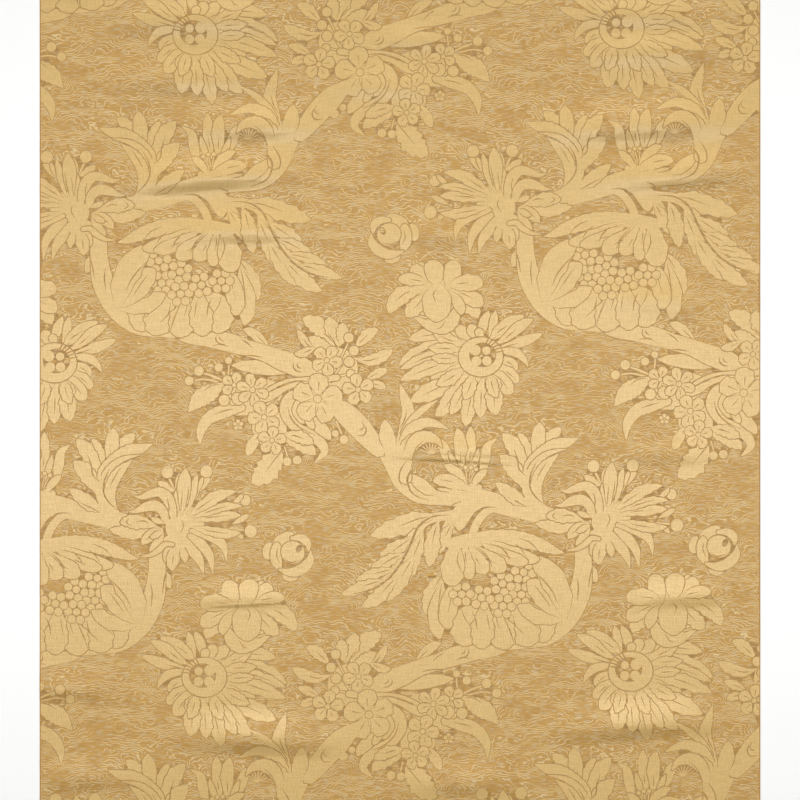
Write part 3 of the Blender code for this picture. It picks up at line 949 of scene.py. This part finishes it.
def wateredGround():
    # Ribbed silk pressed wet between rollers: its crushed ribs are pale lines on a duller ground.
    look, shows = groundLook, groundLook["shows"]
    material, tree, inMm = newMaterial("watered_silk_ground")
    uneven = {}
    for i, (name, (wide, tall, rough)) in enumerate(look["uneven"].items()):
        apart = (5 + 7 * i, 3 + 5 * i, 0)  # so that no two run alike
        place = {"Vector": inMm, "Location": apart, "Scale": (1 / wide, 1 / tall, 1)}
        at = addNode(tree, "Mapping", place)
        noise = {"Vector": at, "Scale": 1, "Detail": rough}
        uneven[name] = addNode(tree, "TexNoise", noise, noise_dimensions="2D")

    # the lines are the contours of a level, whose bends are read here, a step aside and a step on
    step = look["seek"]
    bends = []
    for off in ((0, 0, 0), (step, 0, 0), (0, step, 0)):
        there = addNode(tree, "VectorMath", {0: inMm, 1: off})
        bend = 0
        for wide, tall, lines in (look["drift"], look["wobble"]):
            place = {"Vector": there, "Location": (lines, 3, 0), "Scale": (1 / wide, 1 / tall, 1)}
            at = addNode(tree, "Mapping", place)
            noise = {"Vector": at, "Scale": 1, "Detail": 1}
            part = addNode(tree, "TexNoise", noise, noise_dimensions="2D")
            bend = addNode(tree, "Math", {0: part, 1: lines, 2: bend}, "MULTIPLY_ADD")
        bends.append(bend)
    away = addNode(tree, "Attribute", attribute_name="toFigure").outputs["Fac"]
    fade = addNode(tree, "Math", {0: away, 1: -look["echoReach"]}, "DIVIDE")
    fade = addNode(tree, "Math", {0: fade}, "EXPONENT")
    echo = addNode(tree, "Math", {0: fade, 1: look["echoLines"]}, "MULTIPLY")
    onTheWay = addNode(tree, "SeparateXYZ", {0: inMm}).outputs["Y"]
    even = {0: onTheWay, 1: 1 / look["lineSpacing"], 2: bends[0]}
    level = addNode(tree, "Math", even, "MULTIPLY_ADD")
    level = addNode(tree, "Math", {0: level, 1: echo}, "ADD")
    # its steepness keeps the lines all equally thin
    aside = addNode(tree, "Math", {0: bends[1], 1: bends[0]}, "SUBTRACT")
    onward = addNode(tree, "Math", {0: bends[2], 1: bends[0]}, "SUBTRACT")
    onward = addNode(tree, "Math", {0: onward, 1: step / look["lineSpacing"]}, "ADD")
    around = addNode(tree, "Math", {0: echo, 1: step / look["echoReach"]}, "MULTIPLY")
    steep = addNode(tree, "CombineXYZ", {0: aside, 1: onward, 2: around})
    steep = addNode(tree, "VectorMath", {0: steep}, "LENGTH")
    half = addNode(tree, "Math", {0: steep, 1: look["lineWidth"] / 2 / step}, "MULTIPLY")
    half = addNode(tree, "Math", {0: half, 1: look["lineWidest"]}, "MINIMUM")
    offLine = addNode(tree, "Math", {0: level, 1: 0.5}, "PINGPONG")
    offLine = addNode(tree, "Math", {0: offLine, 1: half}, "DIVIDE")
    lines = look["lineStrength"]
    for value, none, full in ((offLine, *look["lineEdge"]), (uneven["dash"], *shows["dash"]),
                              (away, *look["bareRim"]), (uneven["quiet"], *shows["quiet"])):
        part = addNode(tree, "MapRange", {0: value, 1: none, 2: full}, interpolation_type="SMOOTHSTEP")
        lines = addNode(tree, "Math", {0: lines, 1: part}, "MULTIPLY")

    mixed = {0: uneven["cloud"], 1: 0.5, 2: uneven["rib"]}
    tone = addNode(tree, "Math", mixed, "MULTIPLY_ADD")
    none, full = shows["tone"]
    tone = addNode(tree, "MapRange", {0: tone, 1: none, 2: full})
    none, full = shows["grey"]
    greys = {0: uneven["grey"], 1: none, 2: full, 4: look["greyStrength"]}
    greys = addNode(tree, "MapRange", greys)
    none, full = shows["rim"]
    deepest, faintest = look["rimShade"]
    depth = addNode(tree, "MapRange", {0: uneven["dash"], 1: none, 2: full, 3: deepest, 4: faintest})
    rim, clear = look["bareRim"]
    shaded = addNode(tree, "MapRange", {0: away, 1: clear, 2: rim / 2, 4: depth})
    colour = rgb(look["deep"])
    for share, name in ((tone, "base"), (greys, "grey"), (lines, "line"), (shaded, "shade")):
        colour = addNode(tree, "Mix", {0: share, 6: colour, 7: rgb(look[name])}, data_type="RGBA")
    raised = {0: lines, 1: 0.5, 2: uneven["rib"]}
    raised = addNode(tree, "Math", raised, "MULTIPLY_ADD")
    strength, height = look["bump"]
    bump = addNode(tree, "Bump", {"Height": raised, "Strength": strength, "Distance": height})
    return surfaced(material, {
        "Base Color": colour,
        "Normal": bump,
        "Roughness": look["roughness"],
        "Specular IOR Level": look["gloss"],
    })


threadAndEdgeShadeLook = {
    "brown": "#9F7135",
    "gold": "#BC9253",
    "ends": 1.5,  # mm between the uneven places among the cut ends
    "roughness": 0.8,
}


def threadAndEdgeShade():
    # Cut silk thread: its bare ends are browner, and the cut edge is darker, partly their own colour and
    # partly painted shade along the edge.
    look = threadAndEdgeShadeLook
    material, tree, inMm = newMaterial("cut_silk_thread_and_painted_edge_shade")
    at = addNode(tree, "Mapping", {"Vector": inMm, "Scale": (1 / look["ends"], 1 / look["ends"], 1)})
    noise = {"Vector": at, "Scale": 1, "Detail": 2}
    ends = addNode(tree, "TexNoise", noise, noise_dimensions="2D")
    shades = {0: ends, 6: rgb(look["brown"]), 7: rgb(look["gold"])}
    colour = addNode(tree, "Mix", shades, data_type="RGBA")
    return surfaced(material, {"Base Color": colour, "Roughness": look["roughness"]})


sheet = makeCloth([silkSatin(), wateredGround(), threadAndEdgeShade()])
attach(sheet, "root")
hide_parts("cloth")
print("Cloth: made, and laid on the surface")


studio = {
    "shown": 0.644,  # metres of cloth from the top of the picture to the bottom
    "lens": 85.0,  # mm
    "sensor": 36.0,  # mm
    "sky": 0.17,
    "floor": "#FFFFFE",
    "floorRoughness": 0.9,
    "floorSize": 30.0,  # metres
    "floorDrop": 0.0002,  # metres that it lies under the cloth
    "aim": (0.0, -0.02, 0.0),  # where the lamps point
    # place, width and depth in metres, power in watts, spread in degrees
    "lamps": {
        "strip": ((0.0, -0.06, 1.8), 2.4, 0.4, 4.45, 72.0),  # overhead, gloss for the middle
        "softBox": ((0.0, 2.5, 3.4), 2.4, 1.6, 3.6, 50.0),  # for the gloss on the slopes that face it
        "rake": ((0.0, 16.0, 6.2), 8.0, 3.0, 2380.0, 180.0),  # low, to bring out the folds
    },
}


def setStage():
    scene = bpy.context.scene
    scene.view_settings.view_transform = "Standard"
    bpy.ops.mesh.primitive_plane_add(size=studio["floorSize"], location=(0, 0, -studio["floorDrop"]))
    floor = bpy.context.object
    floor.name = "floor"
    paper = newMaterial("matt_white_paper")[0]
    look = {"Base Color": rgb(studio["floor"]), "Roughness": studio["floorRoughness"]}
    floor.data.materials.append(surfaced(paper, look))
    for name, (place, width, depth, power, spread) in studio["lamps"].items():
        lamp = bpy.data.lights.new(name, "AREA")
        lamp.shape = "RECTANGLE"
        lamp.size, lamp.size_y = width, depth
        lamp.energy = power
        lamp.spread = math.radians(spread)
        held = bpy.data.objects.new(name, lamp)
        held.location = place
        toAim = Vector(studio["aim"]) - Vector(place)
        held.rotation_euler = toAim.to_track_quat("-Z", "Y").to_euler()
        scene.collection.objects.link(held)
    world = bpy.data.worlds.new("room")
    world.use_nodes = True
    sky = world.node_tree.nodes["Background"]
    sky.inputs["Strength"].default_value = studio["sky"]
    sky.inputs["Color"].default_value = (1, 1, 1, 1)
    scene.world = world
    camera = bpy.data.objects.new("camera", bpy.data.cameras.new("camera"))
    camera.data.lens = studio["lens"]
    camera.data.sensor_width = studio["sensor"]
    camera.location = (0, 0, studio["shown"] * studio["lens"] / studio["sensor"])
    scene.collection.objects.link(camera)
    scene.camera = camera


setStage()
print("Stage: floor, light and camera set")
